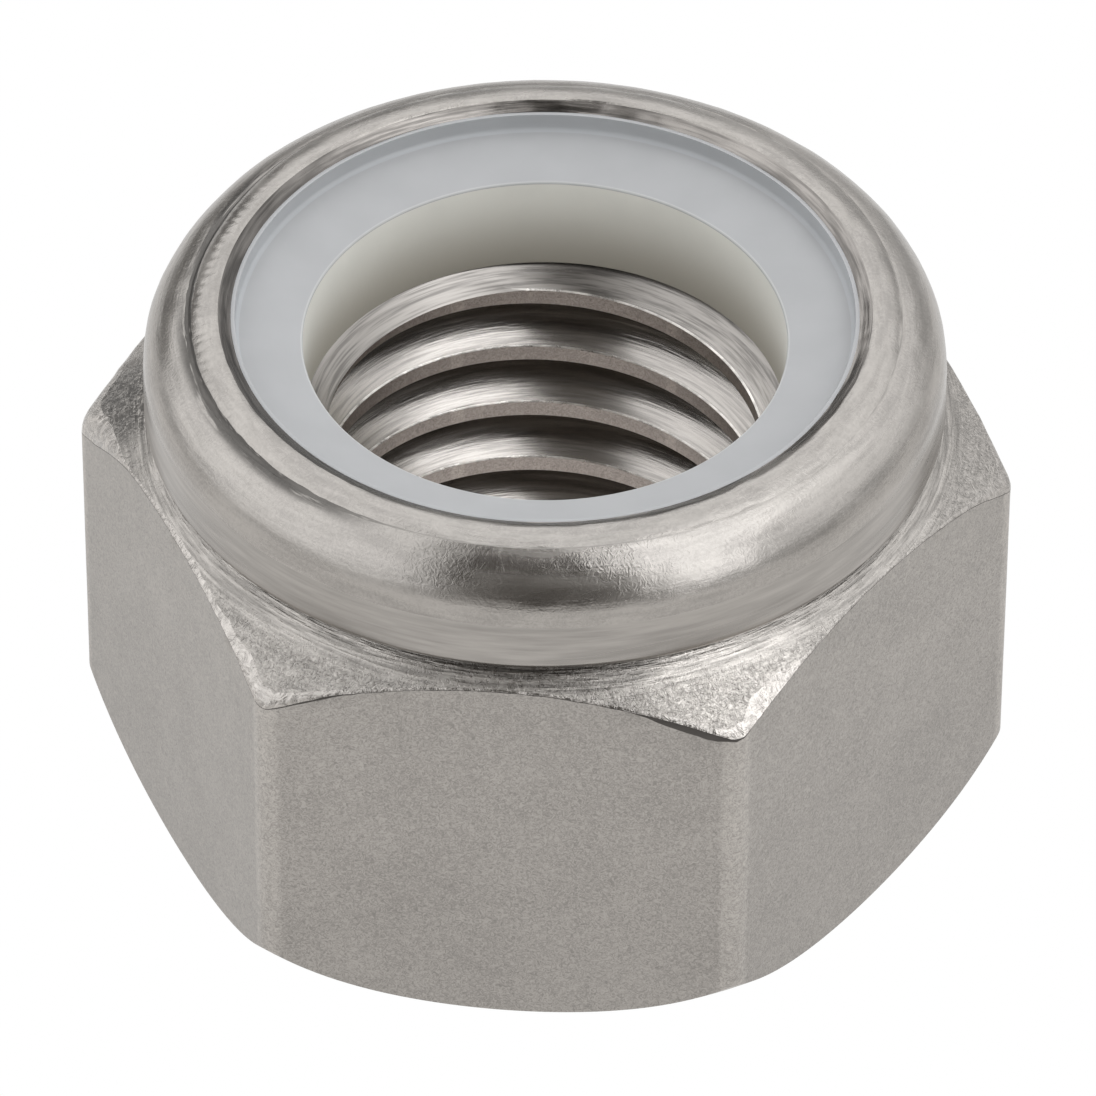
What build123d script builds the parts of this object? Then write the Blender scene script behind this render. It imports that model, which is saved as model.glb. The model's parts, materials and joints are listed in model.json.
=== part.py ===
from build123d import *
import math
import os

# Nylon insert lock nut for an M12 coarse thread, in two pieces: a steel body turned from
# hexagon bar, and a nylon ring held in a pocket at its top by a rolled lip.
# All lengths are in millimetres. The bearing face lies at z = 0 and the thread runs along Z.
# Two flats face along Y, and two corners point along X.

# Hexagon bar
across_flats = 19.0
corner_radius = 0.5
nut_height = 13.6

# Bearing face, and the rounded relief from it up to the bottom edge of each flat
bearing_face_inset = 0.42
relief_rise_at_flat = 0.23
relief_rise_at_corner = 1.62

# Collar, whose upright skirt overhangs the chamfer by an undercut at its foot, and ends in a
# rounded shoulder at the top
collar_height = 3.0
collar_inset = 0.2
undercut_depth = 0.3
undercut_rise = 0.26
shoulder_height = 1.55
collar_wall = 1.15

# Chamfer across the corners' tops, by its slope from the horizontal
chamfer_angle = 34.0

# Lip: the top of the collar's wall, rolled inwards over the ring, with a crowned top from the
# crease at the shoulder's edge. Each reach is measured inwards from the collar's skirt, and
# each drop downwards from the nut's top.
lip_crease_reach = 1.06
lip_crease_drop = 0.15
lip_top_reach = 1.65
lip_end_reach = 1.8
lip_end_drop = 0.03
lip_inner_edge_reach = 2.05
lip_inner_edge_drop = 0.17
lip_underside_angle = 45.0

# Thread, given by its nominal diameter, with a countersink at each end. Its helical groove
# isn't cut here: the bore is as wide as the thread's crests.
thread_diameter = 12.0
thread_depth = 0.9
bottom_countersink_margin = 0.3
bottom_countersink_angle = 30.0
top_countersink_depth = 0.55

# Nylon ring: its bore is a little smaller than the bolt, which cuts its own thread there
pocket_depth = 3.4
ring_interference = 0.4
ring_height = 2.45
ring_edge_chamfer = 0.15
ring_rim_width = 0.09
ring_dish_drop = 0.6

# Places worked out from the sizes above: radii are from the axis, levels from z = 0
flat_distance = across_flats / 2
corner_distance = flat_distance / math.cos(math.radians(30))
thread_radius = thread_diameter / 2
bore_radius = thread_radius - thread_depth

collar_radius = flat_distance - collar_inset
collar_base_radius = collar_radius - undercut_depth
collar_base_level = nut_height - collar_height
chamfer_slope = math.tan(math.radians(chamfer_angle))
corner_top_level = collar_base_level - (corner_distance - collar_base_radius) * chamfer_slope

lip_inner_radius = collar_radius - lip_inner_edge_reach
lip_inner_level = nut_height - lip_inner_edge_drop

seat_level = nut_height - pocket_depth
pocket_radius = collar_radius - collar_wall
lip_underside_slope = math.tan(math.radians(lip_underside_angle))
pocket_wall_top = lip_inner_level - (pocket_radius - lip_inner_radius) * lip_underside_slope

ring_bore_radius = thread_radius - ring_interference
ring_rim_radius = lip_inner_radius - ring_rim_width


def pocket_corners():
    """The pocket from its seat's inner edge, out to the wall, up it and in under the lip."""
    return [
        (bore_radius + top_countersink_depth, seat_level),
        (pocket_radius, seat_level),
        (pocket_radius, pocket_wall_top),
        (lip_inner_radius, lip_inner_level),
    ]


def body_section():
    """Half of the turned body's section, in the plane through the axis and a corner."""
    face_edge = (flat_distance - bearing_face_inset, 0)
    relief_at_flat = (flat_distance, relief_rise_at_flat)
    corner_bottom = (corner_distance, relief_rise_at_corner)
    corner_top = (corner_distance, corner_top_level)
    collar_base = (collar_base_radius, collar_base_level)
    skirt_bottom = (collar_radius, collar_base_level + undercut_rise)
    skirt_top = (collar_radius, nut_height - shoulder_height)
    crease = (collar_radius - lip_crease_reach, nut_height - lip_crease_drop)
    lip_top = (collar_radius - lip_top_reach, nut_height)
    lip_end = (collar_radius - lip_end_reach, nut_height - lip_end_drop)

    countersink_radius = thread_radius + bottom_countersink_margin
    countersink_slope = math.tan(math.radians(bottom_countersink_angle))
    face_mouth = (countersink_radius, 0)
    bore_bottom = (bore_radius, (countersink_radius - bore_radius) * countersink_slope)
    bore_top = (bore_radius, seat_level - top_countersink_depth)
    pocket = pocket_corners()

    with BuildSketch(Plane.XZ) as section:
        with BuildLine():
            Line(face_mouth, face_edge)
            ThreePointArc(face_edge, relief_at_flat, corner_bottom)
            Polyline(corner_bottom, corner_top, collar_base, skirt_bottom, skirt_top)
            TangentArc(skirt_top, crease, tangent=(0, 1))
            TangentArc(lip_top, crease, tangent=(1, 0))
            Polyline(lip_top, lip_end, *reversed(pocket), bore_top, bore_bottom, face_mouth)
        make_face()
    return section.sketch


def hexagon_bar():
    """The bar stock, cut to the nut's height, with its long edges rounded."""
    with BuildPart() as bar:
        with BuildSketch():
            hexagon = RegularPolygon(flat_distance, side_count=6, major_radius=False)
            fillet(hexagon.vertices(), radius=corner_radius)
        extrude(amount=nut_height)
    return bar.part


def nut_body():
    """The steel body: what the bar and the turned shape have in common."""
    return hexagon_bar() & revolve(body_section(), axis=Axis.Z)


def nylon_insert():
    """The nylon ring, pressed by the lip into the pocket's shape, with a dished top."""
    bore_bottom = (ring_bore_radius, seat_level)
    bore_top = (ring_bore_radius, seat_level + ring_height)
    dish_foot = (ring_rim_radius, nut_height - ring_dish_drop)
    rim_top = (ring_rim_radius, lip_inner_level)
    with BuildSketch(Plane.XZ) as section:
        with BuildLine():
            Polyline(*pocket_corners(), rim_top, dish_foot, bore_top, bore_bottom, close=True)
        make_face()
        bore_edge = section.vertices().group_by(Axis.X)[0].sort_by(Axis.Y)[-1]
        chamfer(bore_edge, length=ring_edge_chamfer)
    return revolve(section.sketch, axis=Axis.Z)


os.makedirs("parts", exist_ok=True)
export_step(nut_body(), "parts/nut_body.step")
export_step(nylon_insert(), "parts/nylon_insert.step")
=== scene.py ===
import json
import math

import bpy
from mathutils import Matrix, Vector, noise


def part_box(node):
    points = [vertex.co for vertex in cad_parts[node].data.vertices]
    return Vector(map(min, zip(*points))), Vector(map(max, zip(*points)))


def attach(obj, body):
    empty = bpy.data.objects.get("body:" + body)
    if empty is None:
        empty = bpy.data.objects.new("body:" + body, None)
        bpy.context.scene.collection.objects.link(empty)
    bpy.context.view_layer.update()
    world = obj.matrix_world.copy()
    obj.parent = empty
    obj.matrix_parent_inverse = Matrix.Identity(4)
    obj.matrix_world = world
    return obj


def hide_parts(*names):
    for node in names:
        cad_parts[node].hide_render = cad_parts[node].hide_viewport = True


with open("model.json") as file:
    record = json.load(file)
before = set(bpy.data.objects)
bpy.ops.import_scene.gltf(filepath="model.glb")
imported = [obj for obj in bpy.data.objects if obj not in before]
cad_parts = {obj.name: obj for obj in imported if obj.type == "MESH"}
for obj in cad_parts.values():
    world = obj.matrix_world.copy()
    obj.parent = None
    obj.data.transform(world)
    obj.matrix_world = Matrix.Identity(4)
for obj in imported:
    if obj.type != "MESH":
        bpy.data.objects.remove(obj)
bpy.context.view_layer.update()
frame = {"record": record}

# The looks of a nylon insert lock nut: a steel body with a real thread, and a nylon ring.
# Lengths are in metres and angles in radians, unless a name or a comment says otherwise.
# A point of a section is its distance from the axis and its level.
MM = 0.001
SIXTH = math.radians(60)
TURN = math.radians(360)

body_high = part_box("nut_body")[1]
ring_low, ring_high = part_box("nylon_insert")
thread_mount = next(m for m in frame["record"]["mounts"] if m["name"] == "thread")

# Hexagon bar. Each rounded corner has its centre on the way from the axis to the corner, and
# meets the flats at a small angle to both sides of that way.
flat_distance = body_high.y
nut_height = body_high.z
corner_radius = 0.5 * MM
corner_distance = flat_distance / math.cos(SIXTH / 2)
corner_centre_distance = (flat_distance - corner_radius) / math.cos(SIXTH / 2)
corner_half_angle = math.atan2(
    corner_radius * math.sin(SIXTH / 2),
    corner_centre_distance + corner_radius * math.cos(SIXTH / 2),
)

# Bearing face and the rounded relief up to the flats
face_edge = (flat_distance - 0.42 * MM, 0)
relief_at_flat = (flat_distance, 0.23 * MM)
relief_at_corner = (corner_distance, 1.62 * MM)

# Collar: the undercut at its foot, the upright skirt with its rounded foot, and the shoulder
undercut_depth = 0.3 * MM
undercut_rise = 0.26 * MM
skirt_rounding = 0.09 * MM
collar_radius = flat_distance - 0.2 * MM
collar_base = (collar_radius - undercut_depth, nut_height - 3.0 * MM)
skirt_bottom = (collar_radius, collar_base[1] + undercut_rise)
skirt_foot_in = (
    skirt_bottom[0] - skirt_rounding,
    skirt_bottom[1] - skirt_rounding * undercut_rise / undercut_depth,
)
skirt_foot_up = (skirt_bottom[0], skirt_bottom[1] + skirt_rounding)
skirt_top = (collar_radius, nut_height - 1.55 * MM)

# Chamfer across the corners' tops
chamfer_angle = math.radians(34)

# Lip: the crease at the shoulder's edge, the crowned top, its end, and the inner face below it
crease_radius = collar_radius - 1.06 * MM
crease_drop = 0.15 * MM
shoulder_slope_at_crease = 0.3
crease_lean = 0.3
lip_top = (collar_radius - 1.65 * MM, nut_height)
lip_end = (collar_radius - 1.8 * MM, nut_height - 0.03 * MM)
lip_inner = (collar_radius - 2.05 * MM, ring_high.z)
lip_turn = (lip_end[0] + 0.04 * MM, lip_end[1] + 0.012 * MM)
lip_edge = (
    lip_end[0] * 0.75 + lip_inner[0] * 0.25,
    lip_end[1] * 0.75 + lip_inner[1] * 0.25,
)

# Pocket for the ring, with its ceiling at 45 degrees
seat_level = ring_low.z
pocket_radius = collar_radius - 1.15 * MM
seat_corner = (pocket_radius, seat_level)
ceiling_corner = (pocket_radius, lip_inner[1] - (pocket_radius - lip_inner[0]))

# Thread, M12 coarse and right-handed, with flanks a little flatter than a bolt's, as they show.
# The break is the flattened edge between a crest and a flank.
thread_pitch = 1.75 * MM
thread_root_radius = 6.0 * MM
thread_root_crown = 0.02 * MM
crest_radius = thread_mount["dims"]["r_mm"] * MM
crest_width = 0.40 * MM
flank_slope = math.tan(math.radians(34))
crest_break_reach = 0.05 * MM
crest_break_rise = 0.02 * MM
thread_start_level = 0.32 * MM

# Countersinks: one from the bearing face up to the bore, and one from the ring's seat down to it
bottom_mouth = (6.3 * MM, 0)
bottom_angle = math.radians(30)
bore_bottom = (crest_radius, (bottom_mouth[0] - crest_radius) * math.tan(bottom_angle))
seat_edge = (crest_radius + 0.55 * MM, seat_level)
bore_top = (crest_radius, seat_level - 0.44 * MM)

# Nylon ring
ring_bore_radius = 5.6 * MM
ring_rim_radius = lip_inner[0] - 0.09 * MM
ring_dish_foot = nut_height - 0.6 * MM
ring_bore_top = seat_level + 2.45 * MM
ring_edge = 0.05 * MM
rim_foot_rise = 0.08 * MM
rim_foot_reach = 0.1 * MM

# Directions from the axis in degrees, anticlockwise from above, to say where marks of wear lie
# and where light and shade are painted
right_corner = 0
left_corner = 180
left_flat = -150
front_left_corner = -120
front_flat = -90
front_right_corner = -60

# How far each zone's surface wanders from its form: waves, each with a size in millimetres and
# a fineness per millimetre
unevenness = {
    "flat": ((0.003, 0.5), (0.001, 3.0)),
    "edge": ((0.006, 3.0), (0.006, 7.0)),
    "chamfer": ((0.006, 1.3), (0.005, 5.0)),
    "skirt": ((0.005, 0.6), (0.0015, 2.5)),
    "shoulder": ((0.010, 0.7), (0.006, 2.2), (0.002, 6.0)),
    "crease": ((0.008, 2.0),),
    "lip": ((0.010, 0.9), (0.005, 3.0)),
    "lip_inner": ((0.015, 1.2), (0.010, 3.5)),
}
ring_unevenness = ((0.008, 0.6), (0.002, 3.0))

# How ragged the small forms are round the nut: waves, each with a size, a fineness and a seed
crease_raggedness = ((0.3, 30, 2.2), (0.15, 110, 6.4))
edge_raggedness = ((0.35, 60, 3.7), (0.3, 170, 8.1))
notch_raggedness = ((0.35, 90, 9.3), (0.35, 210, 2.8))
chamfer_top_raggedness = ((0.02, 26, 1.3), (0.015, 70, 5.1))

# The material slot of each zone of the body, and of each zone of the ring
steel_slot_of = {
    "face": "steel_turned_face",
    "relief": "steel_flat",
    "flat": "steel_flat",
    "notch": "steel_crevice",
    "edge": "steel_edge",
    "chamfer": "steel_chamfer",
    "undercut": "steel_crevice",
    "skirt": "steel_skirt",
    "shoulder": "steel_shoulder",
    "crease": "steel_crease",
    "lip": "steel_lip",
    "lip_inner": "steel_lip_inner",
    "pocket": "steel_turned_face",
    "countersink": "steel_thread",
    "crest": "steel_crest",
    "crest_edge": "steel_crest_edge",
    "flank": "steel_thread",
}
nylon_slot_of = {
    "hidden": "nylon_top",
    "top": "nylon_top",
    "rim": "nylon_rim",
    "edge": "nylon_edge",
    "bore": "nylon_bore",
}
steel_slots = sorted(set(steel_slot_of.values()))
nylon_slots = sorted(set(nylon_slot_of.values()))


def straight(start, end, steps):
    """Points from start up to, but not including, end."""
    return [
        (
            start[0] + (end[0] - start[0]) * i / steps,
            start[1] + (end[1] - start[1]) * i / steps,
        )
        for i in range(steps)
    ]


def bend(start, corner, end, steps):
    """A rounded corner, as a quadratic curve, without its end."""
    points = []
    for i in range(steps):
        t = i / steps
        a, b, c = (1 - t) ** 2, 2 * t * (1 - t), t**2
        points.append(
            (
                a * start[0] + b * corner[0] + c * end[0],
                a * start[1] + b * corner[1] + c * end[1],
            )
        )
    return points


def arc(centre, start, end, steps):
    """An arc about centre from start, without its end. It doesn't cross the line from centre
    towards the axis."""
    first = math.atan2(start[1] - centre[1], start[0] - centre[0])
    last = math.atan2(end[1] - centre[1], end[0] - centre[0])
    radius = math.dist(centre, start)
    return [
        (
            centre[0] + radius * math.cos(first + (last - first) * i / steps),
            centre[1] + radius * math.sin(first + (last - first) * i / steps),
        )
        for i in range(steps)
    ]


def upright_centre(widest, other):
    """Centre of the arc that stands upright at widest and passes through other."""
    reach = widest[0] - other[0]
    rise = other[1] - widest[1]
    return (widest[0] - (reach**2 + rise**2) / (2 * reach), widest[1])


def level_centre(top, other):
    """Centre of the arc that lies level at top and passes through other."""
    reach = other[0] - top[0]
    drop = top[1] - other[1]
    return (top[0], top[1] - (reach**2 + drop**2) / (2 * drop))


def on_circle(centre, point, radius):
    """The upper point, at one distance from the axis, of the circle about centre that passes
    through point."""
    size = math.dist(centre, point)
    return (radius, centre[1] + math.sqrt(size**2 - (radius - centre[0]) ** 2))


def circle_through(a, b, c):
    """Centre and radius of the circle through three points."""
    m = Matrix(((b[0] - a[0], b[1] - a[1]), (c[0] - a[0], c[1] - a[1])))
    v = Vector(
        (
            (b[0] ** 2 + b[1] ** 2 - a[0] ** 2 - a[1] ** 2) / 2,
            (c[0] ** 2 + c[1] ** 2 - a[0] ** 2 - a[1] ** 2) / 2,
        )
    )
    centre = m.inverted() @ v
    return centre, math.dist(centre, a)


relief_centre, relief_radius = circle_through(face_edge, relief_at_flat, relief_at_corner)


def relief_level(radius):
    """Level of the relief under the flats, at one distance from the axis."""
    return relief_centre[1] - math.sqrt(relief_radius**2 - (radius - relief_centre[0]) ** 2)


def from_corner(angle):
    """The angle from the nearest corner of the hexagon."""
    return (angle + SIXTH / 2) % SIXTH - SIXTH / 2


def hexagon_radius(angle):
    """Distance from the axis to the bar's side at one angle."""
    apart = from_corner(angle)
    if abs(apart) >= corner_half_angle:
        return flat_distance / math.cos(SIXTH / 2 - abs(apart))
    across = corner_centre_distance * math.sin(apart)
    along = corner_centre_distance * math.cos(apart)
    return along + math.sqrt(corner_radius**2 - across**2)


def column_angles():
    """Angles of the body's columns, closer together across the rounded corners."""
    corner_steps = 8
    flat_steps = 50
    corner_angle = 2 * corner_half_angle
    flat_angle = SIXTH - corner_angle
    angles = []
    for corner in range(6):
        start = corner * SIXTH - corner_half_angle
        angles += [start + corner_angle * i / corner_steps for i in range(corner_steps)]
        start += corner_angle
        angles += [start + flat_angle * i / flat_steps for i in range(flat_steps)]
    return angles


def near(angle, middle_degrees, width_degrees):
    """1 at a direction round the axis, falling smoothly to 0 at a width from it."""
    apart = abs((angle - math.radians(middle_degrees) + TURN / 2) % TURN - TURN / 2)
    t = max(0.0, 1 - apart / math.radians(width_degrees))
    return t * t * (3 - 2 * t)


def ragged(angle, waves):
    """Smooth noise round the axis, about 0."""
    x, y = math.cos(angle), math.sin(angle)
    return sum(
        size * noise.noise(Vector((x * fineness, y * fineness, seed)))
        for size, fineness, seed in waves
    )


def rough(radius, level, angle, waves):
    """Smooth noise over a surface, about 0, in millimetres."""
    place = Vector((radius * math.cos(angle), radius * math.sin(angle), level)) / MM
    return sum(size * noise.noise(place * fineness) for size, fineness in waves)


def crease_sizes(angle):
    """Half width, depth and sinking of the crease: open at the left, closed elsewhere, and
    raised a little at the front. The shares are in millimetres."""
    left = near(angle, left_corner + 32, 48)
    back_left = near(angle, left_corner - 12, 34)
    right = near(angle, right_corner + 8, 60)
    front = near(angle, front_flat + 5, 60)
    half_width = 0.02 + 0.06 * left + 0.05 * back_left
    half_width *= 1 + ragged(angle, crease_raggedness)
    depth = 0.004 + 0.07 * left + 0.05 * back_left
    sunk = 0.13 * max(left, back_left) + 0.05 * right - 0.09 * front
    return half_width * MM, depth * MM, sunk * MM


def edge_sizes(angle):
    """How far the rounding between chamfer and flat reaches down the flat and up the chamfer.
    It is worn wider at the corners, the left one most, and burred beside the front ones. The
    shares are in millimetres."""
    worn = (
        near(angle, left_corner, 17)
        + 0.3 * near(angle, front_left_corner, 9)
        + 0.35 * near(angle, right_corner, 10)
    )
    burr = (
        0.30 * near(angle, front_right_corner + 5, 8)
        + 0.10 * near(angle, front_left_corner - 5, 8)
        + 0.10 * near(angle, front_left_corner - 20, 24)
    )
    beside_corner = max(0.0, 1 - abs(from_corner(angle)) / math.radians(20)) ** 1.5
    down = 0.025 + 0.5 * worn
    up = 0.035 + 0.15 * beside_corner + burr
    up *= 1 + ragged(angle, edge_raggedness)
    up += 0.38 * worn
    return down * MM, up * MM


def notch_sizes(angle):
    """Height and depth of the notch under the chamfer's burr, widest left of a front corner.
    The shares are in millimetres."""
    front_right = near(angle, front_right_corner - 5.5, 8)
    front_left = near(angle, front_left_corner + 6, 7)
    height = 0.018 + 0.22 * front_right + 0.05 * front_left
    height *= 1 + ragged(angle, notch_raggedness)
    depth = 0.012 + 0.05 * front_right + 0.02 * front_left
    return height * MM, depth * MM


def body_section(angle):
    """The body's closed section at one angle, from the bearing face round to the bore.
    Returns its points, and the zone of the face strip after each point."""
    side = hexagon_radius(angle)
    top = collar_base[1] - (side - collar_base[0]) * math.tan(chamfer_angle)
    top += ragged(angle, chamfer_top_raggedness) * MM
    edge_down, edge_up = edge_sizes(angle)
    above_edge = (side - edge_up * math.cos(chamfer_angle), top + edge_up * math.sin(chamfer_angle))
    below_edge = (side, top - edge_down)
    notch_height, notch_depth = notch_sizes(angle)
    notch_roof_share = 0.15
    notch_in = (side - notch_depth, below_edge[1] - notch_height * notch_roof_share)
    notch_bottom = (side, below_edge[1] - notch_height)
    half_crease, crease_depth, crease_sunk = crease_sizes(angle)
    crease = (crease_radius, nut_height - crease_drop - crease_sunk)
    shoulder_centre = upright_centre(skirt_top, crease)
    lip_centre = level_centre(lip_top, crease)
    crease_out = (
        crease[0] + half_crease,
        crease[1] - half_crease * shoulder_slope_at_crease,
    )
    crease_in = on_circle(lip_centre, crease, crease[0] - half_crease)
    crease_low = (crease[0] - crease_depth * crease_lean, crease[1] - crease_depth)
    relief = [
        (radius, relief_level(radius))
        for radius, _ in straight(face_edge, (side, 0), steps=10)
    ]
    strips = [
        ("face", straight(bottom_mouth, face_edge, steps=5)),
        ("relief", relief),
        ("flat", straight((side, relief_level(side)), notch_bottom, steps=26)),
        ("notch", [notch_bottom, notch_in]),
        ("edge", bend(below_edge, (side, top), above_edge, steps=7)),
        ("chamfer", straight(above_edge, collar_base, steps=18)),
        ("undercut", straight(collar_base, skirt_foot_in, steps=3)),
        ("skirt", bend(skirt_foot_in, skirt_bottom, skirt_foot_up, steps=4)),
        ("skirt", straight(skirt_foot_up, skirt_top, steps=10)),
        ("shoulder", arc(shoulder_centre, skirt_top, crease_out, steps=22)),
        ("crease", bend(crease_out, crease_low, crease_in, steps=4)),
        ("lip", arc(lip_centre, crease_in, lip_top, steps=9)),
        ("lip", straight(lip_top, lip_turn, steps=3)),
        ("lip_inner", bend(lip_turn, lip_end, lip_edge, steps=3)),
        ("lip_inner", straight(lip_edge, lip_inner, steps=4)),
        ("pocket", straight(lip_inner, ceiling_corner, steps=3)),
        ("pocket", straight(ceiling_corner, seat_corner, steps=3)),
        ("pocket", straight(seat_corner, seat_edge, steps=3)),
        ("countersink", straight(seat_edge, bore_top, steps=4)),
        ("crest", straight(bore_top, bore_bottom, steps=10)),
        ("countersink", straight(bore_bottom, bottom_mouth, steps=4)),
    ]
    points = [point for _, strip in strips for point in strip]
    zones = [zone for zone, strip in strips for _ in strip]
    return points, zones


def uneven(points, zones, angle):
    """The section with each point moved along the section's normal by its zone's noise, and
    inwards by half the size of its waves, so that it hardly stands out of its form."""
    moved = []
    for i, (radius, level) in enumerate(points):
        if zones[i] not in unevenness or zones[i - 1] not in unevenness:
            moved.append((radius, level))
            continue
        waves = unevenness[zones[i]]
        before, after = points[i - 1], points[(i + 1) % len(points)]
        along = Vector((after[0] - before[0], after[1] - before[1])).normalized()
        inwards = sum(size for size, _ in waves) / 2
        offset = (rough(radius, level, angle, waves) - inwards) * MM
        moved.append((radius + along.y * offset, level - along.x * offset))
    return moved


def slotted_mesh(name, points, faces, slots, indices):
    """A mesh with one material slot for each name, and the slot of each face."""
    mesh = bpy.data.meshes.new(name)
    mesh.from_pydata(points, [], faces)
    for slot_name in slots:
        mesh.materials.append(bpy.data.materials[slot_name])
    mesh.polygons.foreach_set("material_index", indices)
    mesh.update()
    return mesh


def ring_mesh(name, columns, zones, slots, slot_of):
    """A closed mesh from one closed section per column. A column is its angle and points."""
    rows = len(zones)
    points = [
        (radius * math.cos(angle), radius * math.sin(angle), level)
        for angle, section in columns
        for radius, level in section
    ]
    faces = []
    indices = []
    for c in range(len(columns)):
        here = c * rows
        following = (c + 1) % len(columns) * rows
        for r in range(rows):
            up = (r + 1) % rows
            faces.append((here + r, following + r, following + up, here + up))
            indices.append(slots.index(slot_of[zones[r]]))
    return slotted_mesh(name, points, faces, slots, indices)


def thread_profile():
    """One pitch of the tap's outline, as distances along the axis and from it. It starts inside
    the bore at the middle of a crest, goes out past the break and the flank to the root, and
    comes back. The break's line is drawn on a little way into the bore."""
    into_bore = 0.3
    core = (0.0, crest_radius - 0.2 * MM)
    break_outer = (crest_width / 2 + crest_break_rise, crest_radius + crest_break_reach)
    break_inner = (
        crest_width / 2 - crest_break_rise * into_bore,
        crest_radius - crest_break_reach * into_bore,
    )
    flank_end = (
        break_outer[0] + (thread_root_radius - break_outer[1]) * flank_slope,
        thread_root_radius,
    )
    flank = straight(break_outer, flank_end, steps=6) + [flank_end]
    root = (thread_pitch / 2, thread_root_radius + thread_root_crown)
    rise = [break_inner] + flank
    fall = [(thread_pitch - along, radius) for along, radius in reversed(rise)]
    return [core] + rise + [root] + fall


def thread_cutter():
    """The tap: a closed helical solid whose ridge leaves the thread's groove. A column of its
    points holds all turns, and each column is raised a little over the one before, so that the
    last meets the first one turn up. The columns lie off the body's, for a clean cut. Only the
    break below each groove has a finish of its own."""
    steps_per_turn = 348
    off_columns = 0.37
    turns = range(-2, 9)
    break_row = 1
    profile = thread_profile()
    per_turn = len(profile)
    rows = [
        (thread_start_level + turn * thread_pitch + along, radius)
        for turn in turns
        for along, radius in profile
    ]
    count = len(rows)
    points = []
    for step in range(steps_per_turn):
        turned = (step + off_columns) / steps_per_turn
        angle = TURN * turned
        lift = thread_pitch * turned
        for level, radius in rows:
            points.append((radius * math.cos(angle), radius * math.sin(angle), level + lift))

    faces = []
    indices = []
    flank_slot = steel_slots.index(steel_slot_of["flank"])
    break_slot = steel_slots.index(steel_slot_of["crest_edge"])

    def add_strip(here, following, length):
        for r in range(length):
            faces.append((here + r, following + r, following + r + 1, here + r + 1))
            indices.append(break_slot if r % per_turn == break_row else flank_slot)

    for step in range(steps_per_turn - 1):
        add_strip(step * count, (step + 1) * count, count - 1)
    seam = (steps_per_turn - 1) * count
    add_strip(seam, per_turn, count - 1 - per_turn)

    low_loop = [step * count for step in range(steps_per_turn)] + list(range(per_turn, 0, -1))
    high_loop = list(range(seam + count - 1 - per_turn, seam + count - 1))
    high_loop += [step * count + count - 1 for step in reversed(range(steps_per_turn))]
    for loop, level in ((low_loop, rows[0][0]), (high_loop, rows[-1][0])):
        centre = len(points)
        points.append((0, 0, level + thread_pitch / 2))
        for i, here in enumerate(loop):
            faces.append((here, centre, loop[(i + 1) % len(loop)]))
            indices.append(flank_slot)
    return slotted_mesh("tap", points, faces, steel_slots, indices)


def add_piece(name, mesh, node):
    """A piece of the scene that stands for a CAD node."""
    piece = bpy.data.objects.new(name, mesh)
    bpy.context.scene.collection.objects.link(piece)
    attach(piece, "root")
    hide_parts(node)
    return piece


def cut(piece, cutter_mesh):
    """Takes the cutter out of the piece's mesh."""
    cutter = bpy.data.objects.new("tap", cutter_mesh)
    bpy.context.scene.collection.objects.link(cutter)
    boolean = piece.modifiers.new("thread", "BOOLEAN")
    boolean.object = cutter
    boolean.operation = "DIFFERENCE"
    boolean.solver = "EXACT"
    boolean.material_mode = "INDEX"
    shown = piece.evaluated_get(bpy.context.evaluated_depsgraph_get())
    mesh = bpy.data.meshes.new_from_object(shown)
    piece.modifiers.clear()
    plain = piece.data
    piece.data = mesh
    bpy.data.meshes.remove(plain)
    bpy.data.objects.remove(cutter)
    bpy.data.meshes.remove(cutter_mesh)


def smooth(mesh, sharp_degrees):
    """Smooth shading, with real edges kept sharp."""
    mesh.polygons.foreach_set("use_smooth", [True] * len(mesh.polygons))
    mesh.set_sharp_from_angle(angle=math.radians(sharp_degrees))


def build_body():
    """The steel body, with the thread cut into its bore."""
    columns = []
    for angle in column_angles():
        points, zones = body_section(angle)
        columns.append((angle, uneven(points, zones, angle)))
    mesh = ring_mesh("nut_body_detailed", columns, zones, steel_slots, steel_slot_of)
    piece = add_piece("nut_body_detailed", mesh, "nut_body")
    cut(piece, thread_cutter())
    smooth(piece.data, sharp_degrees=34)


def ring_section():
    """The ring's closed section, from the foot of its bore out and round: seat, pocket wall,
    ceiling, raised rim against the lip, dished top and rounded bore edge."""
    rim_top = (ring_rim_radius, lip_inner[1])
    foot = (ring_rim_radius, ring_dish_foot)
    mouth = (ring_bore_radius, ring_bore_top)
    bore_foot = (ring_bore_radius, seat_level)
    dish = Vector((mouth[0] - foot[0], mouth[1] - foot[1])).normalized()
    foot_up = (foot[0], foot[1] + rim_foot_rise)
    foot_in = (foot[0] + dish.x * rim_foot_reach, foot[1] + dish.y * rim_foot_reach)
    edge_out = (mouth[0] - dish.x * ring_edge, mouth[1] - dish.y * ring_edge)
    edge_down = (mouth[0], mouth[1] - ring_edge)
    strips = [
        ("hidden", straight(bore_foot, seat_corner, steps=4)),
        ("hidden", straight(seat_corner, ceiling_corner, steps=4)),
        ("hidden", straight(ceiling_corner, lip_inner, steps=4)),
        ("top", straight(lip_inner, rim_top, steps=1)),
        ("rim", straight(rim_top, foot_up, steps=3)),
        ("rim", bend(foot_up, foot, foot_in, steps=4)),
        ("top", straight(foot_in, edge_out, steps=12)),
        ("edge", bend(edge_out, mouth, edge_down, steps=6)),
        ("bore", straight(edge_down, bore_foot, steps=12)),
    ]
    points = [point for _, strip in strips for point in strip]
    zones = [zone for zone, strip in strips for _ in strip]
    return points, zones


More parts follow.
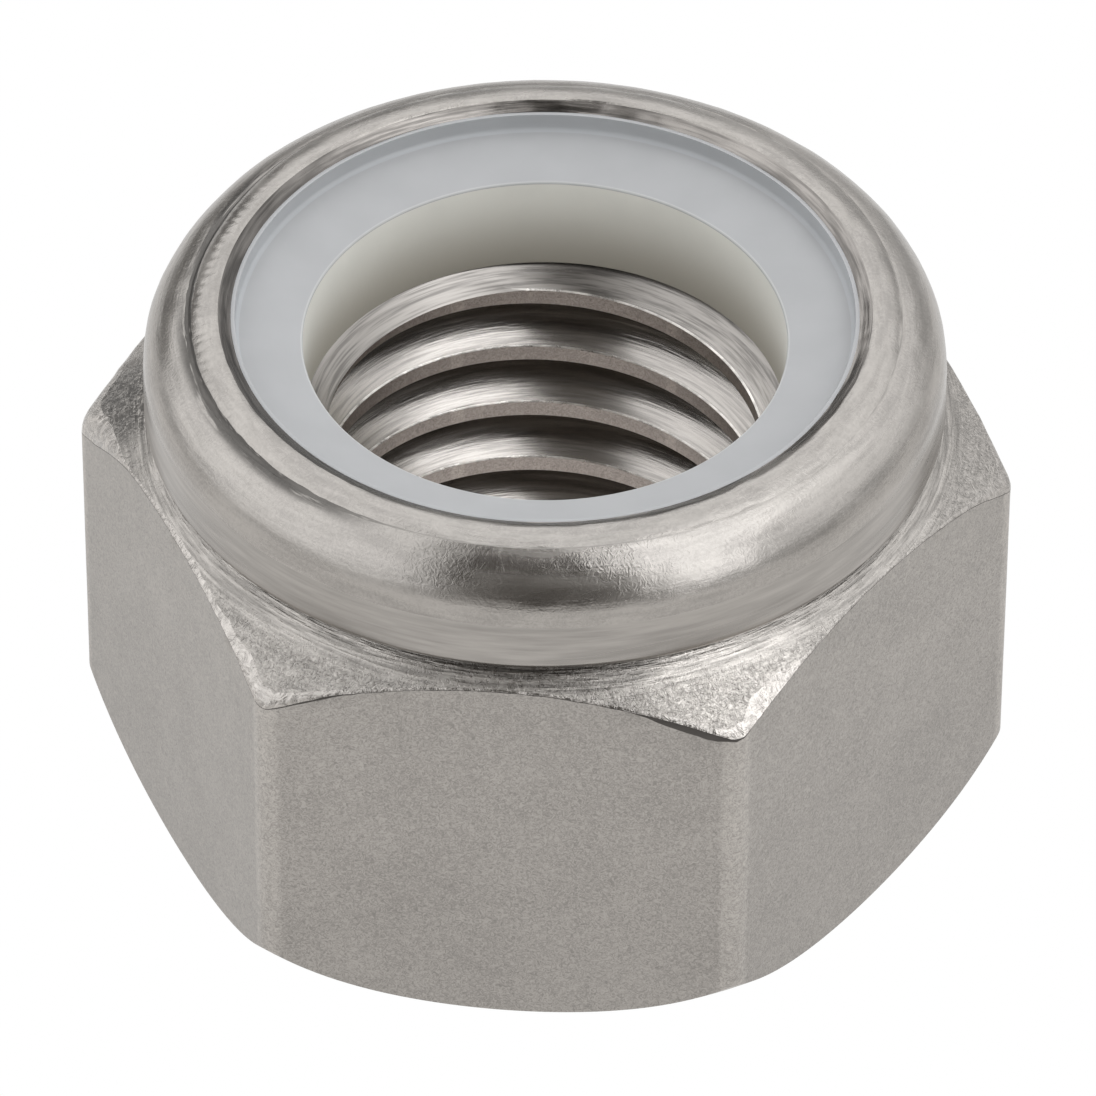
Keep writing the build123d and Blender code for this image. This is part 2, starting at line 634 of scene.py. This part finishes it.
def build_ring():
    """The nylon ring, slightly uneven where it shows."""
    column_count = 288
    uneven_zones = ("top", "edge", "bore")
    section, zones = ring_section()
    columns = []
    for c in range(column_count):
        angle = TURN * c / column_count
        points = []
        for (radius, level), zone in zip(section, zones):
            if zone in uneven_zones:
                points.append((radius, level + rough(radius, level, angle, ring_unevenness) * MM))
            else:
                points.append((radius, level))
        columns.append((angle, points))
    mesh = ring_mesh("nylon_insert_detailed", columns, zones, nylon_slots, nylon_slot_of)
    piece = add_piece("nylon_insert_detailed", mesh, "nylon_insert")
    smooth(piece.data, sharp_degrees=50)


class Nodes:
    """Short calls for the kinds of node that are used here, in one node tree."""

    def __init__(self, tree):
        self.tree = tree
        self.tree.nodes.clear()

    def node(self, kind, inputs, **settings):
        """A node with its settings, and a value or a link for each input that is named."""
        made = self.tree.nodes.new(kind)
        for key, value in settings.items():
            setattr(made, key, value)
        for key, value in inputs.items():
            if isinstance(value, bpy.types.NodeSocket):
                self.tree.links.new(value, made.inputs[key])
            else:
                made.inputs[key].default_value = value
        return made

    def math(self, operation, a, b=0.0):
        return self.node("ShaderNodeMath", {0: a, 1: b}, operation=operation).outputs[0]

    def plus(self, a, b):
        return self.math("ADD", a, b)

    def times(self, a, b):
        return self.math("MULTIPLY", a, b)

    def larger(self, a, b):
        return self.math("MAXIMUM", a, b)

    def vector(self, operation, a, b=None, scale=None):
        inputs = {0: a}
        if b is not None:
            inputs[1] = b
        if scale is not None:
            inputs["Scale"] = scale
        made = self.node("ShaderNodeVectorMath", inputs, operation=operation)
        number = operation in ("LENGTH", "DOT_PRODUCT")
        return made.outputs["Value" if number else "Vector"]

    def ramp(self, value, low, high, to_low=0.0, to_high=1.0):
        """A smooth step from to_low, where value is low, to to_high, where it is high."""
        made = self.node(
            "ShaderNodeMapRange",
            {"Value": value, 1: low, 2: high, 3: to_low, 4: to_high},
            interpolation_type="SMOOTHSTEP",
        )
        return made.outputs[0]

    def fade(self, share, without, within):
        """From one number, where share is 0, to another, where it is 1."""
        return self.ramp(share, 0.0, 1.0, without, within)

    def mix_colour(self, share, a, b):
        made = self.node("ShaderNodeMix", {0: share, 6: a, 7: b}, data_type="RGBA")
        return made.outputs[2]

    def mix_value(self, share, a, b):
        made = self.node("ShaderNodeMix", {0: share, 2: a, 3: b}, data_type="FLOAT")
        return made.outputs[0]


class Shader(Nodes):
    """A material's nodes. Places and depths are in millimetres, in the part's own frame, and
    scales are in features per millimetre."""

    # Noise keeps mostly between these
    noise_low = 0.3
    noise_high = 0.7

    def __init__(self, name):
        self.material = bpy.data.materials.new(name)
        self.material.use_nodes = True
        super().__init__(self.material.node_tree)
        self.output = self.node("ShaderNodeOutputMaterial", {})
        where = self.node("ShaderNodeTexCoord", {}).outputs["Object"]
        self.place = self.vector("SCALE", where, scale=1 / MM)
        x, y, self.level = self.node("ShaderNodeSeparateXYZ", {0: self.place}).outputs
        outwards = self.node("ShaderNodeCombineXYZ", {0: x, 1: y}).outputs[0]
        self.radius = self.vector("LENGTH", outwards)
        self.direction = self.vector("NORMALIZE", outwards)
        self.angle = self.math("ARCTAN2", y, x)

    def grain(self, scale, detail=2.0, roughness=0.5, distortion=0.0):
        """Noise by place, from 0 to 1."""
        made = self.node(
            "ShaderNodeTexNoise",
            {
                "Vector": self.place,
                "Scale": scale,
                "Detail": detail,
                "Roughness": roughness,
                "Distortion": distortion,
            },
        )
        return made.outputs["Fac"]

    def worms(self, scale, distortion):
        """Short curled lines, 0 on a line and 1 beside it."""
        line_width = 0.08
        off = self.math("SUBTRACT", self.grain(scale, detail=1, distortion=distortion), 0.5)
        return self.ramp(self.math("ABSOLUTE", off), 0.0, line_width)

    def streaks(self, around, across, detail=3.0):
        """Noise drawn out round the axis, from 0 to 1. The larger around is, the shorter the
        streaks are, and the larger across is, the finer."""
        around_part = self.vector("SCALE", self.direction, scale=around)
        level_part = self.node("ShaderNodeCombineXYZ", {2: self.times(self.level, across)})
        made = self.node(
            "ShaderNodeTexNoise",
            {
                "Vector": self.vector("ADD", around_part, level_part.outputs[0]),
                "W": self.times(self.radius, across),
                "Scale": 1.0,
                "Detail": detail,
                "Roughness": 0.6,
            },
            noise_dimensions="4D",
        )
        return made.outputs["Fac"]

    def toward(self, degrees, inner, outer):
        """1 within an angle of a direction round the axis, falling to 0 at a wider one. All
        three are in degrees."""
        angle = math.radians(degrees)
        middle = (math.cos(angle), math.sin(angle), 0.0)
        nearness = self.vector("DOT_PRODUCT", self.direction, middle)
        return self.ramp(nearness, math.cos(math.radians(outer)), math.cos(math.radians(inner)))

    def crescents(self, count, middle, half_width, bow):
        """Curled tool marks across the lip, from 0 to 1: count of them a turn, about the
        radius middle, each bowed by an angle of phase at its ends."""
        jitter = self.times(self.grain(1.3), 9.0)
        off = self.math("DIVIDE", self.math("SUBTRACT", self.radius, middle), half_width)
        curl = self.times(self.times(off, off), bow)
        phase = self.plus(self.times(self.angle, float(count)), curl)
        wave = self.math("SINE", self.plus(phase, jitter))
        inside = self.ramp(self.math("ABSOLUTE", off), 1.0, 0.5)
        return self.times(self.plus(self.times(wave, 0.5), 0.5), inside)

    def contrast(self, value, half_range):
        """0 to 1 over a range about the middle of noise."""
        return self.ramp(value, 0.5 - half_range, 0.5 + half_range)

    def gloss(self, value, smoothest, roughest):
        """Roughness that varies with noise."""
        return self.ramp(value, self.noise_low, self.noise_high, smoothest, roughest)

    def bump(self, height, depth, normal=None):
        """A normal from height, where 1 stands a depth over 0, on top of another normal."""
        inputs = {"Height": height, "Distance": depth * MM, "Strength": 1.0}
        if normal is not None:
            inputs["Normal"] = normal
        return self.node("ShaderNodeBump", inputs).outputs[0]

    def finish(self, inputs):
        """The surface shader, linked to the output."""
        surface = self.node("ShaderNodeBsdfPrincipled", inputs)
        self.tree.links.new(surface.outputs[0], self.output.inputs["Surface"])

    def metal(self, colour, spread, tone, roughness, normal, factor=None):
        """Steel whose colour varies by a share of itself with tone, from 0 to 1. A factor
        makes parts of it lighter or darker."""
        base = self.mix_colour(tone, tint(colour, 1 - spread), tint(colour, 1 + spread))
        if factor is not None:
            base = self.vector("SCALE", base, scale=factor)
        self.finish(
            {"Base Color": base, "Metallic": 1.0, "Roughness": roughness, "Normal": normal}
        )


def tint(colour, factor):
    """A colour made lighter or darker, with the fourth value that a colour socket needs."""
    return (colour[0] * factor, colour[1] * factor, colour[2] * factor, 1.0)


# Colours, as shares of linear light
steel_colour = (0.355, 0.333, 0.309)
bright_steel = (0.40, 0.375, 0.349)
# Crest breaks: a much lighter colour, as a painted highlight along the crest edges
crest_highlight_steel = (0.62, 0.59, 0.55)
dull_steel = (0.24, 0.223, 0.207)
# Notch and undercut: real hollows, coloured dark as painted shade
crevice_shade_steel = (0.10, 0.092, 0.085)
brown_steel = (0.36, 0.315, 0.285)
nylon_top_colour = (0.372, 0.373, 0.376)
nylon_rim_colour = (0.41, 0.42, 0.43)
# Rounded bore edge of the ring: a lighter colour, as a painted highlight
nylon_edge_highlight_colour = (0.46, 0.46, 0.455)
nylon_bore_colour = (0.80, 0.79, 0.73)
# Painted shade deep down the nylon bore
nylon_bore_shade_colour = (0.41, 0.385, 0.33)

# How much the fine grain of the steel is curled
grain_curl = 2.6


def satin_steel(name, colour, roughness):
    """Bar surface: short worm-like marks in a fine grain, with soft clouds of tone, lighter
    corners and a slightly darker foot, which is painted shade where the floor would shade it."""
    worm_scale = 8.0
    grain_depth = 0.005
    corner_light = 1.18
    # Painted shade: the flats grow darker towards the foot
    painted_foot_shade = 0.93
    s = Shader(name)
    clouds = s.grain(0.6)
    worms = s.worms(worm_scale, distortion=1.0)
    fine = s.grain(worm_scale, distortion=grain_curl)
    tone = s.mix_value(0.1, s.mix_value(0.7, s.fade(worms, 0.33, 0.62), fine), clouds)
    at_corner = s.math("COSINE", s.times(s.angle, 6.0))
    ragged_corner = s.plus(at_corner, s.times(s.grain(2.5, detail=3), 0.016))
    corner = s.ramp(ragged_corner, 0.982, 0.999, 1.0, corner_light)
    foot = s.ramp(s.level, 1.5, 8.0, painted_foot_shade, 1.0)
    gloss = s.ramp(fine, 0.25, 0.75, roughness - 0.05, roughness + 0.07)
    normal = s.bump(fine, grain_depth, s.bump(worms, grain_depth * 0.25))
    s.metal(colour, 0.26, s.contrast(tone, 0.17), gloss, normal, s.times(corner, foot))


def turned_steel(name, colour, roughness, around, across, depth, spread=0.12):
    """Turned surface: streaks round the axis, broad and fine."""
    s = Shader(name)
    marks = s.streaks(around, across)
    broad = s.streaks(around * 0.5, across * 0.25, detail=1)
    tone = s.mix_value(0.45, marks, broad)
    gloss = s.gloss(broad, roughness - 0.04, roughness + 0.06)
    s.metal(colour, spread, s.contrast(tone, 0.2), gloss, s.bump(marks, depth))


def thread_steel(name, colour):
    """Cut thread: bright streaks along the cut, duller in the first turn below the ring."""
    first_turn_levels = (seat_level / MM - 1.0, seat_level / MM - 0.4)
    first_turn_shade = 0.78
    s = Shader(name)
    marks = s.streaks(around=2.5, across=14.0)
    broad = s.streaks(around=1.5, across=3.5, detail=1)
    tone = s.mix_value(0.4, marks, broad)
    first_turn = s.ramp(s.level, *first_turn_levels)
    streak_shade = s.times(s.fade(first_turn, 0.5, 1.0), s.ramp(marks, 0.55, 0.35, 0.0, 0.25))
    shade = s.math("SUBTRACT", s.fade(first_turn, 1.0, first_turn_shade), streak_shade)
    gloss = s.plus(s.gloss(broad, 0.17, 0.26), s.times(first_turn, 0.1))
    s.metal(colour, 0.2, s.contrast(tone, 0.2), gloss, s.bump(marks, 0.005), shade)


def chamfer_steel(name, colour):
    """Cut chamfer: turning marks near the collar, and torn worm-like grain further out. It has a
    painted dark reflection at the left corner and a painted highlight at the right front one."""
    collar_foot = collar_base[0] / MM
    # Painted dark reflection at the left corner, mottled by the grain, and painted highlight at the
    # right front corner
    dark_reflection_shade = 0.3
    painted_highlight_light = 0.38
    s = Shader(name)
    marks = s.streaks(around=7.0, across=12.0)
    grain = s.grain(4.5, detail=3, roughness=0.6, distortion=grain_curl)
    worms = s.worms(7.0, distortion=2.0)
    outer = s.ramp(s.radius, collar_foot + 0.2, collar_foot + 1.0)
    torn = s.mix_value(s.fade(outer, 0.15, 0.7), marks, s.mix_value(0.12, grain, worms))
    left_corner_reflection_area = s.toward(left_corner + 2, inner=3, outer=12)
    dark_reflection = s.times(left_corner_reflection_area, s.ramp(grain, 0.35, 0.6))
    painted_highlight = s.toward(front_right_corner + 2, inner=3, outer=15)
    factor = s.plus(s.fade(dark_reflection, 1.0, dark_reflection_shade), s.times(painted_highlight, painted_highlight_light))
    gloss = s.gloss(grain, 0.24, 0.40)
    s.metal(colour, 0.32, s.ramp(torn, 0.36, 0.66), gloss, s.bump(torn, 0.05), factor)


def edge_steel(name, colour):
    """The worn rounding beside the chamfer: smeared, with marks that cross it. Where it is burred,
    it is painted brighter, as a painted highlight on the burr."""
    # Painted highlight on the burred parts of the edge
    burr_highlight_strength = 1.3
    s = Shader(name)
    smear = s.grain(2.6, detail=3, roughness=0.6, distortion=3.0)
    combed = s.streaks(around=90.0, across=1.6, detail=2)
    mixed = s.mix_value(0.25, smear, combed)
    left_burr_highlight = s.times(s.toward(left_flat, inner=27, outer=40), 0.5)
    burr_highlights = s.larger(s.toward(front_right_corner + 5, inner=4, outer=11), left_burr_highlight)
    factor = s.fade(burr_highlights, 1.0, burr_highlight_strength)
    gloss = s.gloss(smear, 0.20, 0.34)
    s.metal(colour, 0.24, s.contrast(mixed, 0.15), gloss, s.bump(mixed, 0.055), factor)


def shoulder_steel(name, colour):
    """The spun shoulder: streaked round the axis, with short worm-like marks, and with painted
    shade beside the crease at the left and the back left."""
    crease_edge = crease_radius / MM
    # Painted shade beside the crease, mottled by the streaks
    crease_shadow_shade = 0.3
    s = Shader(name)
    marks = s.streaks(around=6.0, across=8.0)
    broad = s.streaks(around=3.0, across=1.6, detail=2)
    fine = s.grain(5.0, distortion=grain_curl)
    curled = s.mix_value(0.2, fine, s.worms(7.0, distortion=2.0))
    tone = s.mix_value(0.5, s.mix_value(0.5, curled, marks), broad)
    beside = s.ramp(s.radius, crease_edge + 0.42, crease_edge + 0.05)
    back_left = s.toward(left_corner - 20, inner=6, outer=24)
    left = s.toward(left_corner + 34, inner=14, outer=42)
    crease_shadow = s.times(s.times(beside, s.larger(back_left, left)), s.ramp(marks, 0.32, 0.52))
    gloss = s.gloss(broad, 0.20, 0.31)
    normal = s.bump(fine, 0.005, s.bump(marks, 0.007, s.bump(broad, 0.018)))
    factor = s.fade(crease_shadow, 1.0, crease_shadow_shade)
    s.metal(colour, 0.2, s.contrast(tone, 0.16), gloss, normal, factor)


def crease_steel(name, colour):
    """The crease beside the lip: painted shade where it is open, at the left."""
    # Painted shade in the open crease
    open_shade = 0.28
    s = Shader(name)
    marks = s.streaks(around=12.0, across=9.0)
    left = s.toward(left_corner + 20, inner=20, outer=68)
    factor = s.fade(s.times(left, s.ramp(marks, 0.25, 0.45)), 1.0, open_shade)
    s.metal(colour, 0.2, s.contrast(marks, 0.2), 0.34, s.bump(marks, 0.01), factor)


def lip_steel(name, colour):
    """The rolled lip: streaked, and with curled tool marks at the left."""
    marks_middle = crease_radius / MM - 0.38
    s = Shader(name)
    marks = s.streaks(around=10.0, across=7.0)
    broad = s.streaks(around=4.0, across=2.0, detail=2)
    fine = s.grain(5.0, distortion=grain_curl)
    tone = s.mix_value(0.4, s.mix_value(0.4, marks, fine), broad)
    crescents = s.crescents(count=150, middle=marks_middle, half_width=0.34, bow=2.6)
    combed = s.times(crescents, s.toward(left_corner + 10, inner=20, outer=50))
    gloss = s.gloss(broad, 0.21, 0.32)
    normal = s.bump(combed, 0.006, s.bump(fine, 0.006, s.bump(broad, 0.014)))
    s.metal(colour, 0.18, s.contrast(tone, 0.16), gloss, normal)


def lip_inner_steel(name, colour):
    """The lip's inner face: strongly streaked, and dark at the left."""
    left_shade = 0.45
    s = Shader(name)
    marks = s.streaks(around=5.0, across=14.0)
    broad = s.streaks(around=4.0, across=4.0, detail=1)
    tone = s.mix_value(0.4, marks, broad)
    factor = s.fade(s.toward(left_corner + 15, inner=30, outer=80), 1.0, left_shade)
    gloss = s.gloss(broad, 0.16, 0.28)
    s.metal(colour, 0.45, s.contrast(tone, 0.15), gloss, s.bump(marks, 0.014), factor)


def nylon(name, colour, deep=None):
    """Milky nylon with faint clouds and a soft sheen. Down in the bore, where less light comes
    through, it is painted a deeper colour as painted shade."""
    mottling = 0.03
    s = Shader(name)
    clouds = s.grain(0.7, detail=3)
    fine = s.grain(9.0)
    cloudy = s.contrast(clouds, 0.25)
    base = s.mix_colour(cloudy, tint(colour, 1 - mottling), tint(colour, 1 + mottling))
    if deep is not None:
        # Painted shade: darker and warmer down the bore
        low = s.ramp(s.level, ring_bore_top / MM, seat_level / MM)
        base = s.mix_colour(low, base, tint(deep, 1))
    s.finish(
        {
            "Base Color": base,
            "Roughness": 0.42,
            "Subsurface Weight": 0.12,
            "Subsurface Radius": (0.9, 1.0, 1.0),
            "Subsurface Scale": 0.3 * MM,
            "Normal": s.bump(fine, 0.001, s.bump(clouds, 0.012)),
        }
    )


def make_materials():
    """A material for each slot."""
    satin_steel("steel_flat", steel_colour, roughness=0.44)
    satin_steel("steel_crest", brown_steel, roughness=0.42)
    edge_steel("steel_edge", bright_steel)
    chamfer_steel("steel_chamfer", steel_colour)
    shoulder_steel("steel_shoulder", steel_colour)
    crease_steel("steel_crease", steel_colour)
    lip_steel("steel_lip", steel_colour)
    lip_inner_steel("steel_lip_inner", dull_steel)
    thread_steel("steel_thread", bright_steel)
    turned_steel(
        "steel_skirt", steel_colour, roughness=0.30, around=5.0, across=7.0, depth=0.004, spread=0.2
    )
    turned_steel(
        "steel_turned_face", steel_colour, roughness=0.36, around=3.0, across=12.0, depth=0.004
    )
    # The notch under the burr and the undercut under the skirt are coloured dark as painted shade
    turned_steel("steel_crevice", crevice_shade_steel, roughness=0.5, around=8.0, across=6.0, depth=0.01)
    # The crest break, coloured light as a painted highlight along the crest edges
    turned_steel(
        "steel_crest_edge",
        crest_highlight_steel,
        roughness=0.28,
        around=16.0,
        across=3.0,
        depth=0.012,
        spread=0.45,
    )
    nylon("nylon_top", nylon_top_colour)
    nylon("nylon_rim", nylon_rim_colour)
    nylon("nylon_edge", nylon_edge_highlight_colour)
    nylon("nylon_bore", nylon_bore_colour, deep=nylon_bore_shade_colour)


# Camera: at the photograph's angle, aimed at a point by the axis just below mid-height
camera_azimuth = math.radians(5.94)
camera_elevation = math.radians(41.88)
camera_roll = math.radians(0.28)
camera_distance = 253.84 * MM
camera_aim = Vector((0.09 * MM, 0.01 * MM, 6.15 * MM))
camera_lens_mm = 354.9
sensor_mm = 36.0


def level_axes():
    """The level directions to the camera's right, and from the part towards the camera."""
    a = camera_azimuth
    return Vector((math.cos(a), math.sin(a), 0)), Vector((math.sin(a), -math.cos(a), 0))


def add_camera():
    """The camera, turned by its azimuth, elevation and roll about its aim."""
    level, to_camera = level_axes()
    back = to_camera * math.cos(camera_elevation)
    back.z = math.sin(camera_elevation)
    upright = back.cross(level)
    right = math.cos(camera_roll) * level + math.sin(camera_roll) * upright
    up = math.cos(camera_roll) * upright - math.sin(camera_roll) * level
    data = bpy.data.cameras.new("camera")
    data.lens = camera_lens_mm
    data.sensor_width = sensor_mm
    data.clip_start = 0.01
    data.clip_end = 10.0
    camera = bpy.data.objects.new("camera", data)
    turned = Matrix((right, up, back)).transposed().to_4x4()
    camera.matrix_world = Matrix.Translation(camera_aim + back * camera_distance) @ turned
    bpy.context.scene.collection.objects.link(camera)
    bpy.context.scene.camera = camera


def add_floor():
    """A large plain pale floor just under the bearing face, white around the nut. It is a disc
    of rings that widen outwards."""
    radius = 2.0
    rings = 12
    sides = 64
    white_to_mm = 60.0
    pale_from_mm = 220.0
    pale = 0.55
    points = [(0, 0, 0)]
    for ring in range(1, rings + 1):
        reach = radius * (ring / rings) ** 2
        points += [
            (reach * math.cos(TURN * i / sides), reach * math.sin(TURN * i / sides), 0)
            for i in range(sides)
        ]
    faces = [(0, 1 + i, 1 + (i + 1) % sides) for i in range(sides)]
    for ring in range(rings - 1):
        inner, outer = 1 + ring * sides, 1 + (ring + 1) * sides
        for i in range(sides):
            j = (i + 1) % sides
            faces.append((inner + i, outer + i, outer + j, inner + j))
    mesh = bpy.data.meshes.new("floor")
    mesh.from_pydata(points, [], faces)
    s = Shader("floor_white")
    strength = s.ramp(s.radius, white_to_mm, pale_from_mm, 1.0, pale)
    glow = s.node("ShaderNodeEmission", {"Strength": strength})
    s.tree.links.new(glow.outputs[0], s.output.inputs["Surface"])
    s.material.cycles.emission_sampling = "NONE"
    mesh.materials.append(s.material)
    floor = bpy.data.objects.new("floor", mesh)
    floor.location.z = -0.02 * MM
    bpy.context.scene.collection.objects.link(floor)


def add_lights():
    """Large soft panels far away: a bright strip at the right with a paler panel beyond it, a
    panel at the left and one over the back. The dark opening between them faces the camera and
    reaches past the zenith. The panels grow dimmer towards their feet, and a faint light comes
    from everywhere. A direction is split into its parts across, to the front and up, and the
    numbers below are places along these parts, or amounts of light."""
    strip_width = 0.5
    strip_softness = 0.07
    strip_light = 2.5
    right_light = 1.15
    left_light = 1.45
    back_light = 1.35
    side_foot_light = 0.5
    back_foot_light = (0.08, 0.42)
    panel_colour = (0.965, 0.985, 1.01)
    faint_light = (0.13, 0.122, 0.113)

    world = bpy.data.worlds.new("studio")
    world.use_nodes = True
    n = Nodes(world.node_tree)
    direction = n.node("ShaderNodeTexCoord", {}).outputs["Generated"]
    to_right, to_camera = level_axes()
    across = n.vector("DOT_PRODUCT", direction, to_right)
    front = n.vector("DOT_PRODUCT", direction, to_camera)
    up = n.node("ShaderNodeSeparateXYZ", {0: direction}).outputs[2]

    def opening_edge(at_zenith, slope):
        """An edge of the opening, at a place across that changes with the way to the front."""
        return n.plus(n.times(front, slope), at_zenith)

    right_edge = n.larger(opening_edge(0.11, slope=0.175), opening_edge(-0.05, slope=0.65))
    left_edge = opening_edge(0.215, slope=0.33)
    beyond_right = n.math("SUBTRACT", across, right_edge)
    beyond_left = n.plus(across, left_edge)
    right = n.ramp(beyond_right, -0.03, 0.05)
    left = n.ramp(beyond_left, 0.04, -0.05)
    back = n.ramp(front, -0.29, -0.39)

    strip_or_right = n.ramp(
        beyond_right,
        strip_width - strip_softness,
        strip_width + strip_softness,
        strip_light,
        right_light,
    )
    right_tone = n.mix_value(n.ramp(front, -0.5, -0.1), back_light, strip_or_right)
    panels = n.times(right, right_tone)
    panels = n.larger(panels, n.times(left, left_light))
    panels = n.larger(panels, n.times(back, back_light))

    at_back = n.ramp(front, -0.45, -0.7)
    foot_light = n.mix_value(at_back, side_foot_light, n.ramp(across, -0.3, 0.1, *back_foot_light))
    height = n.mix_value(at_back, n.ramp(up, -0.1, 0.36), n.ramp(up, 0.24, 0.46))
    panels = n.times(panels, n.mix_value(height, foot_light, 1.0))

    light = n.vector("ADD", n.vector("SCALE", panel_colour, scale=panels), faint_light)
    shade = n.node("ShaderNodeBackground", {"Color": light, "Strength": 1.0})
    output = n.node("ShaderNodeOutputWorld", {})
    n.tree.links.new(shade.outputs[0], output.inputs["Surface"])
    bpy.context.scene.world = world


make_materials()
build_body()
build_ring()
add_camera()
add_floor()
add_lights()
bpy.context.scene.view_settings.view_transform = "Standard"
